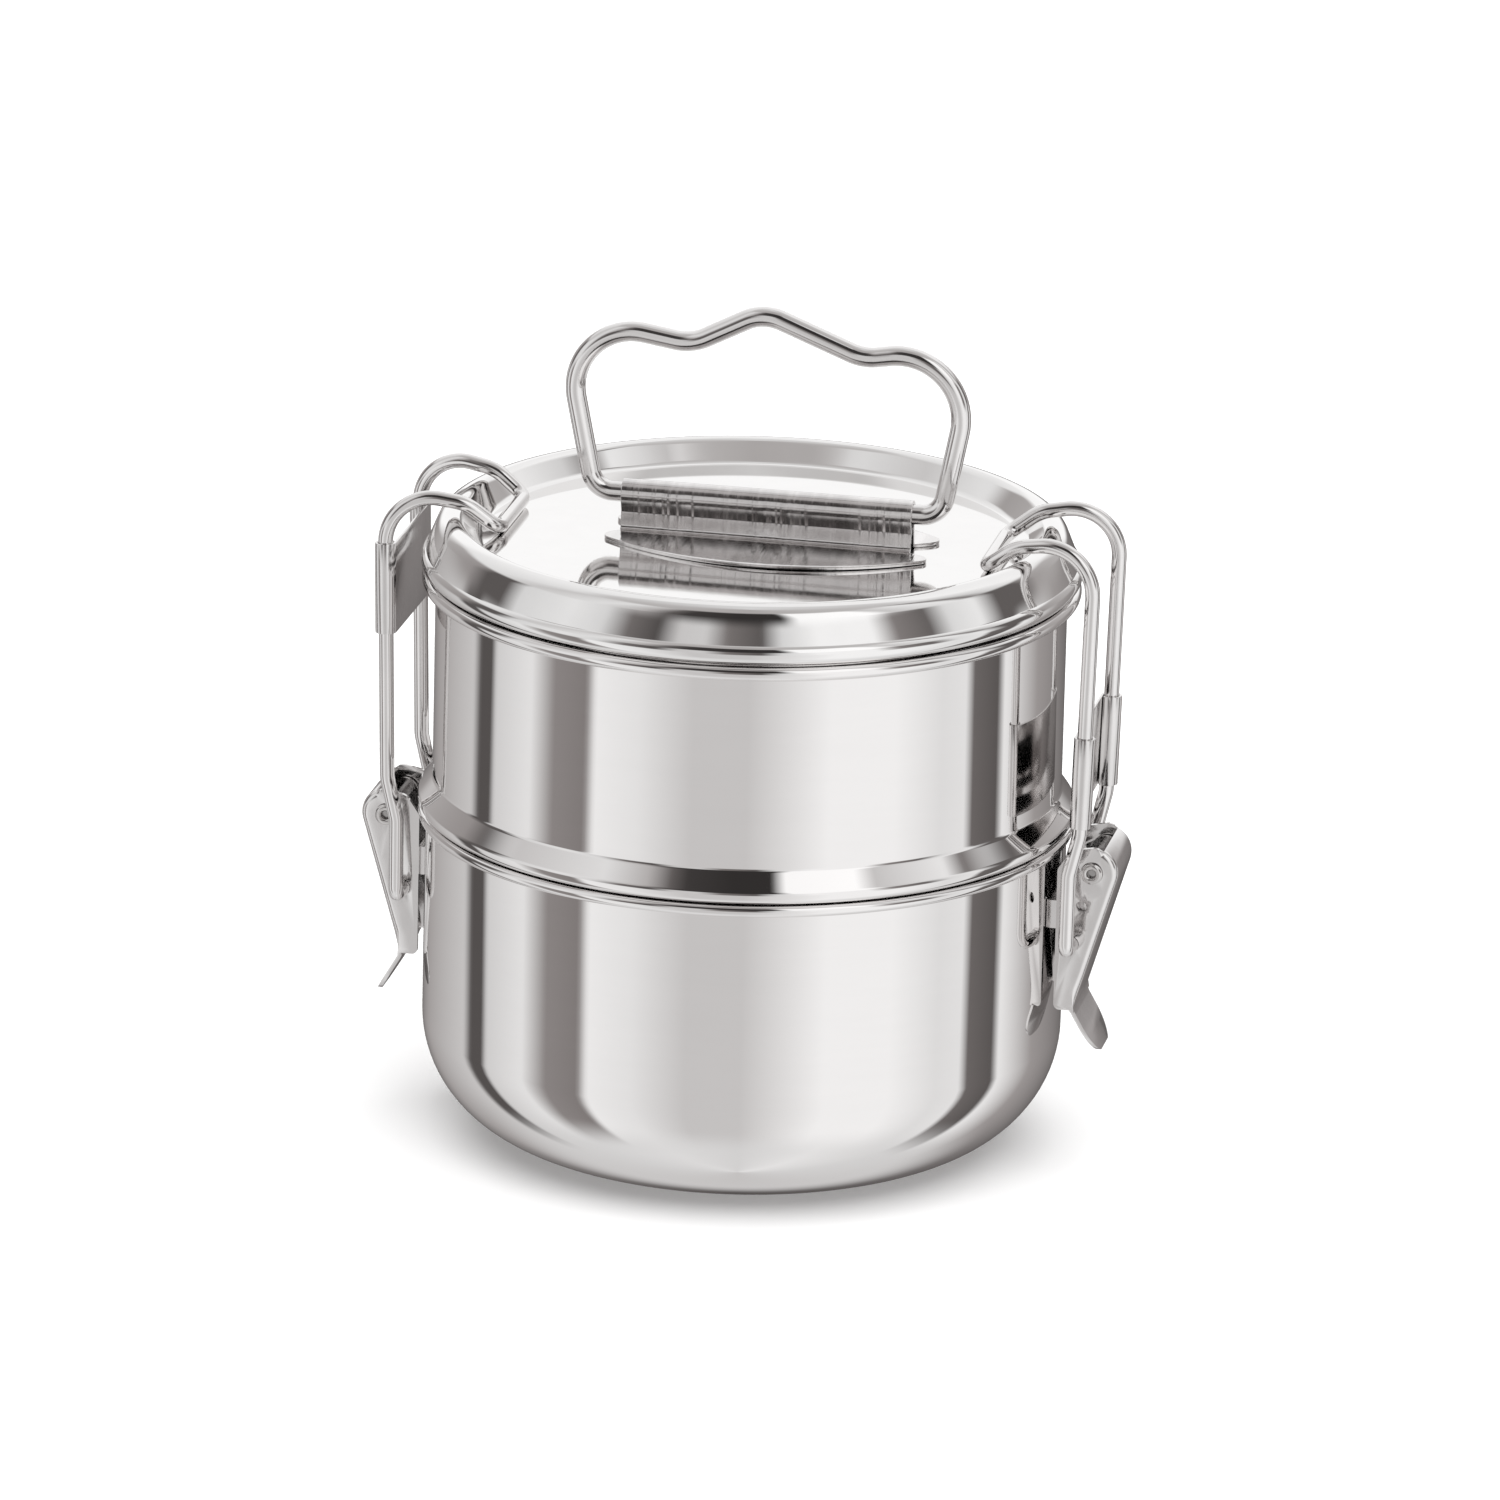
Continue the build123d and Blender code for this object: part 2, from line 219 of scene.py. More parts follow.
def offsets(path, t):
    """Both sides of a bent sheet from its middle path (x, y, r), rounded."""
    n = len(path)
    left, right = [], []
    for i, (x, y, r) in enumerate(path):
        def unit(j, k):
            d = Vector((path[k][0] - path[j][0], path[k][1] - path[j][1]))
            return d.normalized()
        if i == 0:
            u = v = unit(0, 1)
        elif i == n - 1:
            u = v = unit(n - 2, n - 1)
        else:
            u, v = unit(i - 1, i), unit(i, i + 1)
        nn = Vector((-u.y - v.y, u.x + v.x)).normalized()
        s = (t / 2) / (nn.x * -u.y + nn.y * u.x)
        turn = u.x * v.y - u.y * v.x
        side = 0 if abs(turn) < 1e-9 else math.copysign(1, turn)
        left.append((x + nn.x * s, y + nn.y * s, max(0, r - side * t / 2) if r else 0))
        right.append((x - nn.x * s, y - nn.y * s, max(0, r + side * t / 2) if r else 0))
    return left, right


def lathe(name, profile, mat, body, nodes, seg=288, axis="Z", place=(0, 0, 0), sharp=32.0):
    """Closed outline (radius, height) turned about an axis; ends lie on the axis or the outline is a loop."""
    bm = bmesh.new()
    cols = []
    closed = profile[0][0] > 1e-6
    place = Vector(place)

    def at(r, h, k):
        a = 2 * math.pi * k / seg
        if axis == "Z":
            v = Vector((r * math.cos(a), r * math.sin(a), h))
        else:
            v = Vector((r * math.cos(a), h, r * math.sin(a)))
        return (v + place) * MM
    for r, h in profile:
        if r <= 1e-6:
            cols.append([bm.verts.new(at(0, h, 0))])
        else:
            cols.append([bm.verts.new(at(r, h, k)) for k in range(seg)])
    pairs = list(zip(cols, cols[1:]))
    if closed:
        pairs.append((cols[-1], cols[0]))
    for a, b in pairs:
        for k in range(seg):
            k1 = (k + 1) % seg
            if len(a) == 1 and len(b) == 1:
                continue
            if len(a) == 1:
                bm.faces.new((a[0], b[k], b[k1]))
            elif len(b) == 1:
                bm.faces.new((a[k], b[0], a[k1]))
            else:
                bm.faces.new((a[k], b[k], b[k1], a[k1]))
    return finish_mesh(name, bm, mat, body, nodes, sharp)


def dense(points, step):
    out = [points[0]]
    for a, b in zip(points, points[1:]):
        k = max(1, int((b - a).length / step))
        for j in range(1, k + 1):
            out.append(a.lerp(b, j / k))
    return out


def rod(name, path, r, mat, body, nodes, sides=36, bevel=0.35):
    """Round wire along a path (mm), with slightly rounded cut ends."""
    p = dense(path, 4.0)
    n = len(p)
    tan = [(p[min(i + 1, n - 1)] - p[max(i - 1, 0)]).normalized() for i in range(n)]
    ref = Vector((0, 1, 0)) if abs(tan[0].y) < 0.9 else Vector((0, 0, 1))
    nrm = (ref - tan[0] * ref.dot(tan[0])).normalized()
    frames = []
    for i in range(n):
        if i:
            ax = tan[i - 1].cross(tan[i])
            if ax.length > 1e-9:
                nrm = Matrix.Rotation(tan[i - 1].angle(tan[i]), 3, ax.normalized()) @ nrm
            nrm = (nrm - tan[i] * nrm.dot(tan[i])).normalized()
        frames.append((p[i], nrm.copy(), tan[i].cross(nrm)))
    bm = bmesh.new()
    rings = []

    def ring(c, u, v, rr):
        return [bm.verts.new((c + (u * math.cos(2 * math.pi * k / sides) +
                                   v * math.sin(2 * math.pi * k / sides)) * rr) * MM)
                for k in range(sides)]
    c0, u0, v0 = frames[0]
    c1, u1, v1 = frames[-1]
    e0 = ring(c0, u0, v0, r - bevel)
    rings.append(ring(c0 + tan[0] * bevel, u0, v0, r))
    for c, u, v in frames[1:-1]:
        rings.append(ring(c, u, v, r))
    rings.append(ring(c1 - tan[-1] * bevel, u1, v1, r))
    e1 = ring(c1, u1, v1, r - bevel)
    rings = [e0] + rings + [e1]
    for a, b in zip(rings, rings[1:]):
        for k in range(sides):
            bm.faces.new((a[k], b[k], b[(k + 1) % sides], a[(k + 1) % sides]))
    bm.faces.new(e0[::-1])
    bm.faces.new(e1)
    return finish_mesh(name, bm, mat, body, nodes, 40.0)


def evaluated(ob, *mods):
    """Applies modifiers on a fresh mesh object."""
    dg = bpy.context.evaluated_depsgraph_get()
    me = bpy.data.meshes.new_from_object(ob.evaluated_get(dg))
    ob.modifiers.clear()
    old = ob.data
    ob.data = me
    bpy.data.meshes.remove(old)
    return ob


def temp(bm, name="tmp"):
    bmesh.ops.recalc_face_normals(bm, faces=bm.faces)
    me = bpy.data.meshes.new(name)
    bm.to_mesh(me)
    bm.free()
    ob = bpy.data.objects.new(name, me)
    scene.collection.objects.link(ob)
    return ob


def prism(poly, lo, hi, axis="Y", name="tmp"):
    """Polygon (x, z) or (y, z) pushed along an axis, mm."""
    bm = bmesh.new()
    def at(a, b, h):
        return Vector((a, h, b) if axis == "Y" else (h, a, b)) * MM
    A = [bm.verts.new(at(a, b, lo)) for a, b in poly]
    B = [bm.verts.new(at(a, b, hi)) for a, b in poly]
    bm.faces.new(A)
    bm.faces.new(B[::-1])
    n = len(poly)
    for i in range(n):
        bm.faces.new((A[i], A[(i + 1) % n], B[(i + 1) % n], B[i]))
    return temp(bm, name)


def boolean(ob, other, op):
    m = ob.modifiers.new("b", "BOOLEAN")
    m.operation = op
    m.solver = "EXACT"
    m.object = other
    evaluated(ob)
    bpy.data.objects.remove(other)
    return ob


def to_bm(ob, turn=False):
    bm = bmesh.new()
    bm.from_mesh(ob.data)
    bpy.data.objects.remove(ob)
    if turn:
        bmesh.ops.transform(bm, matrix=Matrix.Rotation(math.pi, 4, "Z"), verts=bm.verts)
    return bm


# ================================================================ bowls and lid
T = 0.7
h = T / 2
LOW_R, LOW_CORNER, LOW_RIM_Z, LOW_BEAD, LOW_BEAD_R = 64.3, 24.0, 66.9, 1.2, 64.6
UP_R, UP_SPIGOT_R, UP_BASE_Z, UP_CORNER = 63.0, 62.2, 59.8, 6.0
UP_COLLAR_Z, UP_COLLAR_R, UP_RIM_Z, UP_BEAD, UP_BEAD_R = 67.15, 65.9, 115.5, 1.45, 64.3
LID_EDGE, LID_EDGE_R, LID_EDGE_Z = 2.15, 63.8, 117.95
LID_TOP_Z, LID_PANEL_Z, LID_LIP_R, LID_LIP_Z = 127.0, 122.6, 61.7, 110.9

# lower bowl: outside up, round the rolled rim, inside down
outer = fillet2([(0, 0, 0), (LOW_R, 0, LOW_CORNER), (LOW_R, LOW_RIM_Z - LOW_BEAD - 1.16, 0)], 22)
bead = arc2(LOW_BEAD_R, LOW_RIM_Z - LOW_BEAD, LOW_BEAD, -103, 212, 30)
inner = fillet2([(LOW_R - T, LOW_RIM_Z - 2.1, 0), (LOW_R - T, T, LOW_CORNER - T), (0, T, 0)], 22)
# the flat base is split into rings so its shading stays even
base = [(r, 0.0) for r in (12, 22, 31, 37)]
lathe("lower_bowl_shell", [outer[0]] + base + outer[1:] + bead + inner, "bowl", "lower_bowl", ["lower_bowl"])

cz = UP_COLLAR_Z + h
mid = [(0, UP_BASE_Z + h, 0), (UP_SPIGOT_R - h, UP_BASE_Z + h, UP_CORNER - h),
       (UP_SPIGOT_R - h, cz, 0.8), (UP_COLLAR_R - h, cz, 1.15), (UP_COLLAR_R - h, cz + 1.9, 1.3),
       (UP_R - h, 73.4, 1.8), (UP_R - h, UP_RIM_Z - UP_BEAD, 0)]
ins, out = offsets(mid, T)
out[-1] = (UP_R, UP_RIM_Z - UP_BEAD - 0.64, 0)
ins[-1] = (UP_R - T, UP_RIM_Z - 2.1, 0)
prof = (fillet2(out, 14) + arc2(UP_BEAD_R, UP_RIM_Z - UP_BEAD, UP_BEAD, -152, 165, 32)
        + fillet2(ins, 14)[::-1])
lathe("upper_bowl_shell", prof, "bowl", "upper_bowl", ["upper_bowl"])

panel = LID_PANEL_Z - h
lmid = [(0, panel, 0), (54.8, panel, 2.4), (58.7, LID_TOP_Z - 0.1, 2.0), (62.0, LID_TOP_Z - 0.75, 3.2),
        (64.9, LID_EDGE_Z + 1.3, 0)]
top, under = offsets(lmid, T)
top_line = fillet2(top, 16)
# the slope runs into the curled edge through a fine groove
gx, gz = top_line[-1]
d = Vector((gx - LID_EDGE_R, gz - LID_EDGE_Z))
a_in = math.degrees(math.atan2(d.y, d.x))
top_pts = top_line[:-1] + [(LID_EDGE_R + 1.02 * 1.02 + 0.10, LID_EDGE_Z + 2.02)]
roll = arc2(LID_EDGE_R, LID_EDGE_Z, LID_EDGE, 57.0, -90, 36)
lip = fillet2([(LID_EDGE_R - 0.2, LID_EDGE_Z - LID_EDGE, 0), (LID_LIP_R, LID_EDGE_Z - LID_EDGE, 0.6),
               (LID_LIP_R, LID_LIP_Z + 0.3, 0)], 6)
lip += arc2(LID_LIP_R - h, LID_LIP_Z + 0.3, h, -20, -160, 6)
under_pts = fillet2(under, 14)[:-1]
back = [(LID_LIP_R - T, LID_EDGE_Z - 1.25), (61.6, LID_EDGE_Z - 0.45), (63.3, LID_EDGE_Z + 0.75)]
lathe("lid_shell", top_pts + roll + lip + back + under_pts[::-1], "lid", "lid", ["lid"])

# ================================================================ handle
HANDLE_X, HANDLE_Z, HANDLE_R = 2.9, 130.3, 2.0
rail = [(-1.0, 130.3), (-35.4, 130.3), (-42.8, 166.0), (-16.2, 161.9), (-1.8, 169.4),
        (18.6, 161.5), (41.6, 165.5), (35.0, 130.3), (1.0, 130.3)]
pts = [(HANDLE_X + x, 0, z) for x, z in rail]
radii = [4.8, 12.0, 10.0, 9.0, 10.0, 12.5, 4.8]
rod("carry_handle_wire", fillet3(pts, radii, 22), HANDLE_R, "wire", "carry_handle", ["carry_handle"], 44)

# ---------------------------------------------------------------- saddle
foot_z, ST = LID_PANEL_Z + 0.02, 0.7
BR = 2.06 + ST / 2
leg = fillet2([(-19.6, foot_z + ST / 2, 0), (-1.95, foot_z + ST / 2, 1.3),
               (-1.55, HANDLE_Z - 3.5, 1.5), (-2.25, HANDLE_Z - 1.15, 0)], 9)
fold = arc2(0, HANDLE_Z, BR, 203.0, -23.0, 30)
n_flat = 12


def flange_y(x):
    R = (32.0 ** 2 + 11.8 ** 2) / (2 * 11.8)
    return 20.2 - (R - math.sqrt(max(0.0, R * R - x * x)))


def crimp(x, z):
    """Small hand-formed waves along the folded sheet, mm."""
    f = (0.50 * math.sin(x * 1.13 + 0.6) + 0.34 * math.sin(x * 2.41 + 1.9) + 0.26 * math.sin(x * 4.07 + 0.3 + z * 0.15)
         + 0.20 * math.sin(x * 6.3 + 2.2) + 0.34 * math.sin(x * 0.47 + 1.1))
    return f * (0.55 + 0.45 * math.sin(x * 0.29 + 0.8))


bm = bmesh.new()
WN = 300
ws = [math.sin(math.pi / 2 * (-1 + 2 * i / WN)) * 0.2 + (-1 + 2 * i / WN) * 0.8 for i in range(WN + 1)]
inner_y = abs(leg[1][0])
rows = []
bend = leg[1:]                     # from the flange's inner line up to the fold
for j in range(n_flat + 1):
    t = j / n_flat                 # 0 outer edge, 1 bend line
    row = []
    for w in ws:
        xo, yo = 32.0 * w + 1.1, flange_y(32.0 * w)
        xi = 29.4 * w
        bow = 1.2 * abs(w) ** 12 * math.sin(math.pi * t) * math.copysign(1, w)
        x = xo + (xi - xo) * t ** 1.6 + bow
        y = yo + (inner_y - yo) * t
        # the flange springs a little off the panel towards its free edge
        z = foot_z + ST / 2 + 0.16 * (1 - t) * (0.5 + 0.5 * math.sin(w * 2.4 + 0.7)) \
            + 0.035 * crimp(x, 0) * math.sin(math.pi * t)
        row.append((x, -y, z))
    rows.append(row)
for y, z in bend[1:]:
    k = math.sin(math.pi * min(1.0, max(0.0, (z - foot_z - 1.0) / 6.0)))
    rows.append([(29.4 * w, y + 0.085 * k * crimp(29.4 * w, z), z) for w in ws])
for y, z in fold:
    k = max(0.0, min(1.0, (HANDLE_Z + 1.4 - z) / 2.0))
    rows.append([(29.4 * w, y + 0.05 * k * crimp(29.4 * w, z) * (1 if y < 0 else -1), z) for w in ws])
half_rows = n_flat + 1 + len(bend) - 1
for row in rows[:half_rows][::-1]:
    rows.append([(x, -y, z) for x, y, z in row])
grid = [[bm.verts.new((Vector(p) + Vector((HANDLE_X, 0, 0))) * MM) for p in row] for row in rows]
for a, b in zip(grid, grid[1:]):
    for i in range(WN):
        bm.faces.new((a[i], a[i + 1], b[i + 1], b[i]))
ob = temp(bm, "saddle_tmp")
m = ob.modifiers.new("s", "SOLIDIFY")
m.thickness = ST * MM
m.offset = 0.0
m.use_even_offset = True
m = ob.modifiers.new("v", "BEVEL")
m.width = 0.16 * MM
m.segments = 2
m.limit_method = "ANGLE"
m.angle_limit = math.radians(50)
evaluated(ob)
saddle = finish_mesh("handle_saddle_sheet", to_bm(ob), "saddle", "lid", ["handle_saddle"], 38.0)

# ================================================================ latches
PX, PZ = 72.0, 61.7
WDX, WDZ = -3.7, -15.0
EAR_Y, CHEEK_Y, LT = 7.8, 9.0, 0.8
WIRE_R, LEG_Y, RIVET_R, RUN = 1.5, 15.25, 1.6, 0.06


def polar(r, deg):
    a = math.radians(deg)
    return (r * math.cos(a), r * math.sin(a))


def offset_line(pts, d):
    """Polyline moved to its left by d."""
    out = []
    n = len(pts)
    for i in range(n):
        a = Vector(pts[max(i - 1, 0)]); b = Vector(pts[i]); c = Vector(pts[min(i + 1, n - 1)])
        u = (b - a).normalized() if i else (c - b).normalized()
        v = (c - b).normalized() if i < n - 1 else u
        nn = Vector((-u.y - v.y, u.x + v.x)).normalized()
        s = d / max(0.3, nn.dot(Vector((-u.y, u.x))))
        out.append((b.x + nn.x * s, b.y + nn.y * s))
    return out


def loft_prism(poly, weights, half, r, seg, name):
    """Outline (x, z) pushed across the width, its weighted points rounded in at both sides."""
    n = len(poly)
    area = sum(poly[i][0] * poly[(i + 1) % n][1] - poly[(i + 1) % n][0] * poly[i][1] for i in range(n))
    sgn = 1 if area > 0 else -1
    normals = []
    for i in range(n):
        a, b, c = Vector(poly[i - 1]), Vector(poly[i]), Vector(poly[(i + 1) % n])
        if weights[i] <= 0:
            normals.append(Vector((0, 0)))
            continue
        if weights[i - 1] <= 0:
            u = (c - b).normalized()
        elif weights[(i + 1) % n] <= 0:
            u = (b - a).normalized()
        else:
            u = ((c - b).normalized() + (b - a).normalized()).normalized()
        normals.append(Vector((-u.y, u.x)) * sgn)
    stations = []
    for k in range(seg + 1):
        f = math.radians(90 * k / seg)
        stations.append((half - r + r * math.cos(f), r * (1 - math.sin(f))))
    stations = [(-y, i) for y, i in stations] + [(y, i) for y, i in stations[::-1]]
    bm = bmesh.new()
    rows = []
    for y, inset in stations:
        rows.append([bm.verts.new(Vector((PX + p[0] + nn.x * inset * w, y, PZ + p[1] + nn.y * inset * w)) * MM)
                     for p, nn, w in zip(poly, normals, weights)])
    for a, b in zip(rows, rows[1:]):
        for i in range(n):
            bm.faces.new((a[i], a[(i + 1) % n], b[(i + 1) % n], b[i]))
    bm.faces.new(rows[0])
    bm.faces.new(rows[-1][::-1])
    return temp(bm, name)


def lever_mesh():
    """Pressed channel: back sheet with rounded bends into two cheeks, and a bent thumb tab."""
    R = 5.2
    foot, tip = (-3.1, -29.0), (2.3, -38.3)
    d = math.hypot(*foot)
    tang = math.degrees(math.atan2(foot[1], foot[0])) + math.degrees(math.acos(R / d))
    to = polar(R, tang)
    curl = arc2(0, 0, R, 64.0, tang, 26)
    backc = curl[:-1] + [tuple(v) for v in dense([Vector(q) for q in fillet2(
        [(to[0], to[1], 0), (foot[0], foot[1], 3.2), (tip[0], tip[1], 0)], 14)], 3.0)]
    # the path runs down the outer side, so the inside lies to its right
    ins = offset_line(backc, -LT)
    foot_in = min(range(len(ins)), key=lambda i: abs(ins[i][1] + 29.0))

    def weight(z):
        return max(0.0, min(1.0, (z + 28.6) / 3.5))
    inboard = fillet2([(ins[foot_in][0], -29.0, 0), (-6.9, -29.0, 1.2), (-6.9, 0.4, 1.6),
                       (-4.2, 4.4, 2.6), (0.6, 5.35, 2.5), (curl[0][0], curl[0][1], 0)], 8)[:-1]
    tail = ins[foot_in + 1:][::-1]
    poly = backc + tail + inboard
    wts = [weight(p[1]) for p in backc] + [0.0] * (len(tail) + len(inboard))
    ob = loft_prism(poly, wts, CHEEK_Y, 1.5, 6, "lever")
    # hollow between the cheeks, open inboard, above the curl's end and below
    upv = Vector(polar(1, 64.0))
    line = ins[:foot_in + 1] + [(a - 0.05, b) for a, b in ins[foot_in + 1:]]
    extra_top = [(-6.0, 12.0), (ins[0][0] + upv.x * 5, ins[0][1] + upv.y * 5)]
    hollow = line + [(-16.0, -42.0), (-16.0, 12.0)] + extra_top
    wts = [weight(p[1]) for p in line] + [0.0] * 4
    core = loft_prism(hollow, wts, CHEEK_Y - LT, 0.7, 4, "core")
    boolean(ob, core, "DIFFERENCE")
    # thumb tab outline, seen from outside
    z0 = PZ - 29.3
    zone = [(-12, PZ + 20), (-12, z0)] + \
        fillet2([(-8.0, z0 - 0.2, 0), (-8.0, PZ - 38.6, 6.0), (8.0, PZ - 38.6, 6.0),
                 (8.0, z0 - 0.2, 0)], 14) + [(12, z0), (12, PZ + 20)]
    boolean(ob, prism(zone, PX - 20, PX + 20, "X", "zone"), "INTERSECT")
    for cx, cz_, r in ((0, 0, RIVET_R + RUN), (WDX, WDZ, WIRE_R + RUN), (-1.9, -7.05, 1.1)):
        hole = arc2(PX + cx, PZ + cz_, r, 0, 360, 28)[:-1]
        boolean(ob, prism(hole, -12, 12, "Y", "hole"), "DIFFERENCE")
    m = ob.modifiers.new("v", "BEVEL")
    m.width = 0.12 * MM
    m.segments = 2
    m.limit_method = "ANGLE"
    m.angle_limit = math.radians(42)
    evaluated(ob)
    bm = bmesh.new()
    bm.from_mesh(ob.data)
    bpy.data.objects.remove(ob)
    bmesh.ops.remove_doubles(bm, verts=bm.verts, dist=1e-7)
    bmesh.ops.dissolve_degenerate(bm, dist=1e-7, edges=bm.edges)
    return bm


LEG0, LEG1 = (70.4, 71.6), (71.4, 119.0)


def leg_x(z):
    return LEG0[0] + (LEG1[0] - LEG0[0]) * (z - LEG0[1]) / (LEG1[1] - LEG0[1])


def wire_path():
    bx, bz = PX + WDX, PZ + WDZ
    half = [(bx, CHEEK_Y - LT - 0.6, bz), (bx, LEG_Y, bz), (bx + 0.1, LEG_Y, 63.0),
            (LEG0[0], LEG_Y, LEG0[1]), (leg_x(131.7), LEG_Y, 131.7),
            (55.5, 13.1, 129.1), (49.2, 12.0, 124.23)]
    rr = [2.4, 6.0, 8.0, 9.4, 9.0, 3.0]
    near = [(x, -y, z) for x, y, z in half]
    return fillet3(near + half[::-1], rr + rr[::-1], 20)


def keeper_mesh(z):
    """Plate curled round both legs of the wire loop, one sheet, seams on the inner side."""
    t, H = 0.6, 18.6
    ri = WIRE_R + RUN
    rm = ri + t / 2
    end = arc2(0, LEG_Y, rm, 180, -134, 40)
    mid = [(x, -y) for x, y in end][::-1] + end
    L = offset_line(mid, t / 2)
    Rr = offset_line(mid, -t / 2)
    tilt = math.atan2(LEG1[0] - LEG0[0], LEG1[1] - LEG0[1])
    mat = Matrix.Translation(Vector((leg_x(z), 0, z))) @ Matrix.Rotation(tilt, 4, "Y")
    bm = bmesh.new()
    cols = []
    for (x0, y0), (x1, y1) in zip(L, Rr):
        cols.append([bm.verts.new((mat @ Vector(c)) * MM) for c in
                     ((x0, y0, -H / 2), (x1, y1, -H / 2), (x1, y1, H / 2), (x0, y0, H / 2))])
    for a, b in zip(cols, cols[1:]):
        for k in range(4):
            bm.faces.new((a[k], b[k], b[(k + 1) % 4], a[(k + 1) % 4]))
    bm.faces.new(cols[0])
    bm.faces.new(cols[-1][::-1])
    ob = temp(bm, "keeper")
    m = ob.modifiers.new("v", "BEVEL")
    m.width = 0.13 * MM
    m.segments = 2
    m.limit_method = "ANGLE"
    m.angle_limit = math.radians(50)
    evaluated(ob)
    return ob


def rivet_profile():
    y = CHEEK_Y + 0.1
    one = [(0, y - 0.5), (0.75, y - 0.5), (0.8, y + 0.1)] + arc2(1.45, y + 0.12, 0.62, 170, 30, 12) \
        + [(2.17, y + 0.30), (2.2, y + 0.16), (2.2, y), (RIVET_R, y)]
    return [(r, -v) for r, v in one] + [(r, v) for r, v in one[::-1]]


lever_bm = lever_mesh()
lever_src = bpy.data.meshes.new("lever_src")
lever_bm.to_mesh(lever_src)
lever_bm.free()
path = wire_path()
for sd, s in (("right", 1), ("left", -1)):
    turn = s < 0
    bm = bmesh.new()
    bm.from_mesh(lever_src)
    if turn:
        bmesh.ops.transform(bm, matrix=Matrix.Rotation(math.pi, 4, "Z"), verts=bm.verts)
    finish_mesh(f"latch_lever_{sd}_channel", bm, "press", f"latch_lever_{sd}",
                [f"latch_lever_{sd}"], 33.0)
    pp = [Vector((s * p[0], s * p[1], p[2])) for p in path]
    rod(f"wire_loop_{sd}_wire", pp, WIRE_R, "wire", f"wire_loop_{sd}", [f"wire_loop_{sd}"], 36)
    kz = 82.4 if s > 0 else 111.2
    finish_mesh(f"wire_keeper_{sd}_curl", to_bm(keeper_mesh(kz), turn), "press",
                f"wire_keeper_{sd}", [f"wire_keeper_{sd}"], 40.0)
    lathe(f"pivot_rivet_{sd}_tube", rivet_profile(), "rivet", "lower_bowl",
          [f"pivot_rivet_{sd}"], 48, "Y", (s * PX, 0, PZ), 40.0)
    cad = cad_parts[f"latch_bracket_{sd}"]
    cad.data.materials.clear()
    cad.data.materials.append(MAT["press"])
bpy.data.meshes.remove(lever_src)

# ================================================================ studio
# floor, seen by the camera only and lit by the dome
bm = bmesh.new()
bmesh.ops.create_circle(bm, cap_ends=True, segments=96, radius=4.9)
floor = bpy.data.objects.new("floor", bpy.data.meshes.new("floor"))
bm.to_mesh(floor.data)
bm.free()
floor.location.z = -0.0002
scene.collection.objects.link(floor)
fm = bpy.data.materials.new("floor_pale")
fm.use_nodes = True
b = fm.node_tree.nodes["Principled BSDF"]
b.inputs["Base Color"].default_value = (0.95, 0.95, 0.95, 1)
b.inputs["Roughness"].default_value = 0.9
b.inputs["Specular IOR Level"].default_value = 0.1
floor.data.materials.append(fm)
floor.visible_glossy = False

# plain backdrop behind everything
bm = bmesh.new()
bmesh.ops.create_icosphere(bm, subdivisions=4, radius=4.9)
dome = bpy.data.objects.new("backdrop", bpy.data.meshes.new("backdrop"))
bm.to_mesh(dome.data)
bm.free()
scene.collection.objects.link(dome)
dm = bpy.data.materials.new("backdrop_white")
dm.use_nodes = True
nt = dm.node_tree
nt.nodes.clear()
em = nt.nodes.new("ShaderNodeEmission")
em.inputs["Color"].default_value = (1, 1, 1, 1)
em.inputs["Strength"].default_value = 1.0
om = nt.nodes.new("ShaderNodeOutputMaterial")
nt.links.new(em.outputs[0], om.inputs[0])
dome.data.materials.append(dm)
for k in ("visible_diffuse", "visible_glossy", "visible_transmission", "visible_volume_scatter", "visible_shadow"):
    setattr(dome, k, False)

# soft studio: brightness by direction, two narrow dark flags left and right
world = bpy.data.worlds.new("studio")
scene.world = world
world.use_nodes = True
nt = world.node_tree
N, L = nt.nodes, nt.links
N.clear()
tc = N.new("ShaderNodeTexCoord")
sep = N.new("ShaderNodeSeparateXYZ")
L.new(tc.outputs["Generated"], sep.inputs[0])


def math_node(op, a=None, b=None, c=None, clamp=False):
    m = N.new("ShaderNodeMath")
    m.operation = op
    m.use_clamp = clamp
    for i, v in enumerate((a, b, c)):
        if v is None:
            continue
        if isinstance(v, (int, float)):
            m.inputs[i].default_value = v
        else:
            L.new(v, m.inputs[i])
    return m.outputs[0]


# rotate so that angle 0 points at the camera's side of the object
th = math.radians(-90 + CAM_AZ)
ca, sa = math.cos(th), math.sin(th)
fx = math_node("MULTIPLY_ADD", sep.outputs[0], ca, math_node("MULTIPLY", sep.outputs[1], sa))
fy = math_node("MULTIPLY_ADD", sep.outputs[0], -sa, math_node("MULTIPLY", sep.outputs[1], ca))
ang = math_node("ARCTAN2", fy, fx)
u = math_node("MULTIPLY_ADD", ang, 1 / (2 * math.pi), 0.5)          # 0..1, 0.5 = camera side
el = math_node("ARCSINE", sep.outputs[2])
eld = math_node("MULTIPLY", el, 180 / math.pi)


def lin(v):
    g = (v / 255.0) ** 2.2 / 0.80
    w = max(0.0, min(1.0, (205 - v) / 90.0))            # the darker surroundings are a warm grey
    return g * (1 + 0.07 * w), g * (1 - 0.02 * w), g * (1 - 0.04 * w)


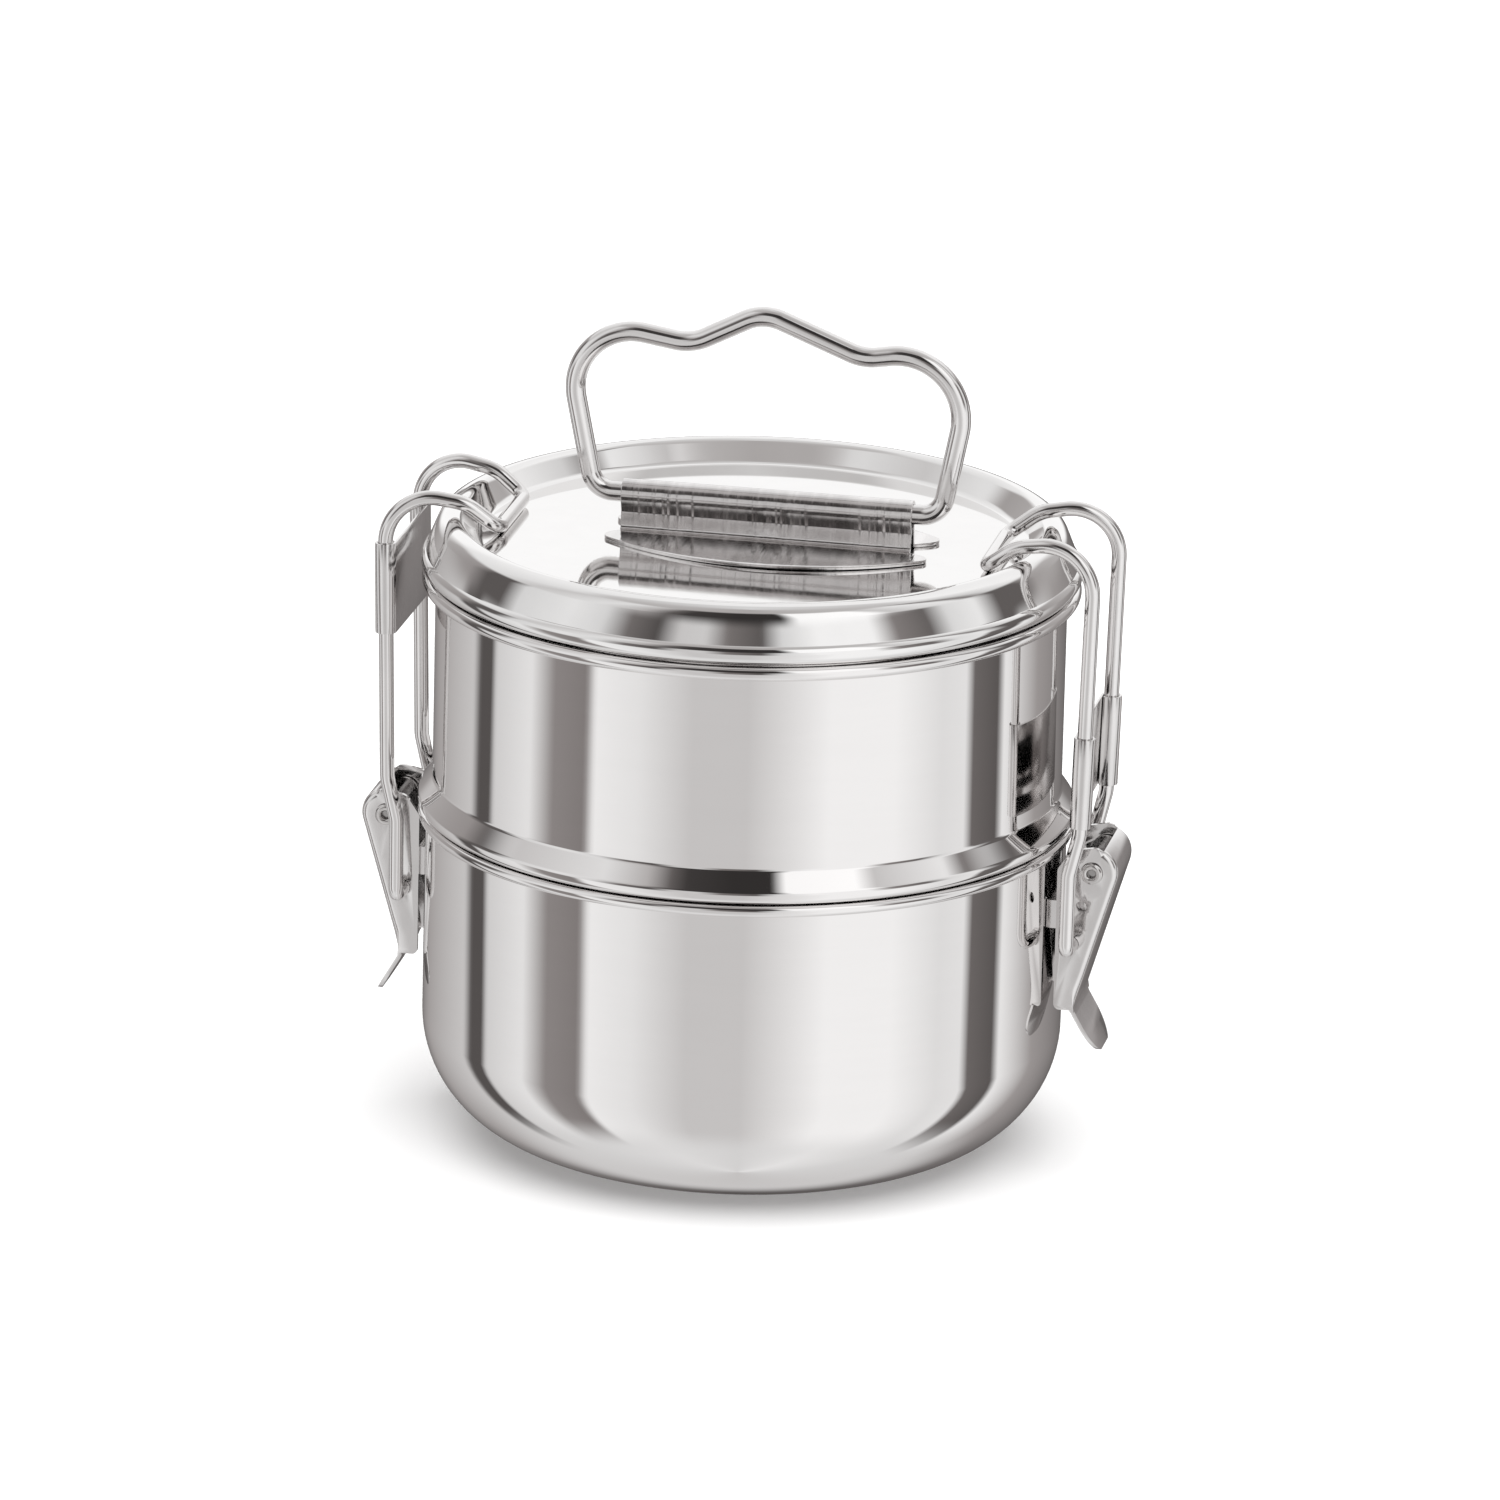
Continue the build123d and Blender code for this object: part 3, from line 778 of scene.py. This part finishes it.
# plain studio surroundings: broad bright panels with dark flags between them, (degrees, tone)
low = [(-180, 80), (-155, 150), (-120, 190), (-115, 80), (-108, 80), (-105, 200), (-86, 220), (-75, 130),
       (-61, 120), (-57, 230), (-40, 220), (-20, 190), (0, 190), (30, 235), (55, 235), (75, 215), (86, 220),
       (90, 100), (103, 85), (107, 225), (130, 145), (180, 80)]
mid_r = [(-180, 230), (-120, 215), (-95, 190), (-60, 215), (-42, 170), (-32, 90), (-25, 60), (-5, 50),
         (12, 50), (18, 245), (48, 250), (56, 190), (84, 225), (92, 110), (104, 200), (130, 235), (180, 230)]
near_r = [(-180, 240), (-160, 240), (-145, 160), (-120, 140), (-110, 85), (-98, 85), (-90, 205), (-68, 220),
          (-54, 205), (-44, 105), (-33, 75), (-25, 190), (-16, 195), (-8, 110), (4, 85), (11, 205), (24, 235),
          (44, 235), (53, 120), (66, 95), (75, 210), (88, 225), (98, 90), (112, 90), (122, 150), (145, 170),
          (160, 240), (180, 240)]
top_r = [(-180, 205), (-90, 176), (-40, 165), (0, 160), (40, 172), (90, 180), (180, 205)]
down_r = [(-180, 190), (-90, 205), (-40, 214), (0, 205), (40, 222), (90, 205), (180, 190)]


def ring_ramp(stops):
    r = ramp(nt, [((a + 180) / 360.0, lin(v)) for a, v in stops])
    L.new(u, r.inputs["Fac"])
    return r.outputs["Color"]


def smooth(value, a, b):
    m = N.new("ShaderNodeMapRange")
    m.interpolation_type = "SMOOTHSTEP"
    m.inputs["From Min"].default_value = a
    m.inputs["From Max"].default_value = b
    L.new(value, m.inputs["Value"])
    return m.outputs["Result"]


def mixc(f, a, b):
    m = N.new("ShaderNodeMix")
    m.data_type = "RGBA"
    L.new(f, m.inputs["Factor"])
    L.new(a, m.inputs[6])
    L.new(b, m.inputs[7])
    return m.outputs[2]


c = mixc(smooth(eld, -62, -38), ring_ramp(down_r), ring_ramp(low))
c = mixc(smooth(eld, -5, 6), c, ring_ramp(near_r))
c = mixc(smooth(eld, 23, 31), c, ring_ramp(mid_r))
c = mixc(smooth(eld, 57, 66), c, ring_ramp(top_r))
bg = N.new("ShaderNodeBackground")
L.new(c, bg.inputs["Color"])
bg.inputs["Strength"].default_value = 1.0
wo = N.new("ShaderNodeOutputWorld")
L.new(bg.outputs[0], wo.inputs[0])

# broad soft key from above so the floor reads pale; not mirrored in the steel
ld = bpy.data.lights.new("key", "AREA")
ld.shape = "DISK"
ld.size = 4.2
ld.energy = 92.0
key = bpy.data.objects.new("key", ld)
key.location = (0.2, -0.5, 2.4)
key.rotation_mode = "QUATERNION"
key.rotation_quaternion = (Vector((0, 0, 0)) - key.location).to_track_quat("-Z", "Y")
key.visible_glossy = False
key.visible_camera = False
scene.collection.objects.link(key)

# ================================================================ camera
a, e, r = map(math.radians, (CAM_AZ, CAM_EL, CAM_ROLL))
back = Vector((math.sin(a) * math.cos(e), -math.cos(a) * math.cos(e), math.sin(e)))
right = Vector((math.cos(a), math.sin(a), 0))
up = Vector((-math.sin(a) * math.sin(e), math.cos(a) * math.sin(e), math.cos(e)))
X = math.cos(r) * right + math.sin(r) * up
Y = -math.sin(r) * right + math.cos(r) * up
cd = bpy.data.cameras.new("cam")
cd.sensor_width = 36.0
cd.lens = CAM_F * 36.0 / 1500.0
cd.shift_x = -CAM_TX / 1500.0
cd.clip_start, cd.clip_end = 0.05, 20.0
cam = bpy.data.objects.new("cam", cd)
scene.collection.objects.link(cam)
rot = Matrix((X, Y, back)).transposed()
cam.matrix_world = Matrix.Translation(Vector((0, 0, CAM_Z)) + back * CAM_D) @ rot.to_4x4()
scene.camera = cam

bpy.context.view_layer.update()
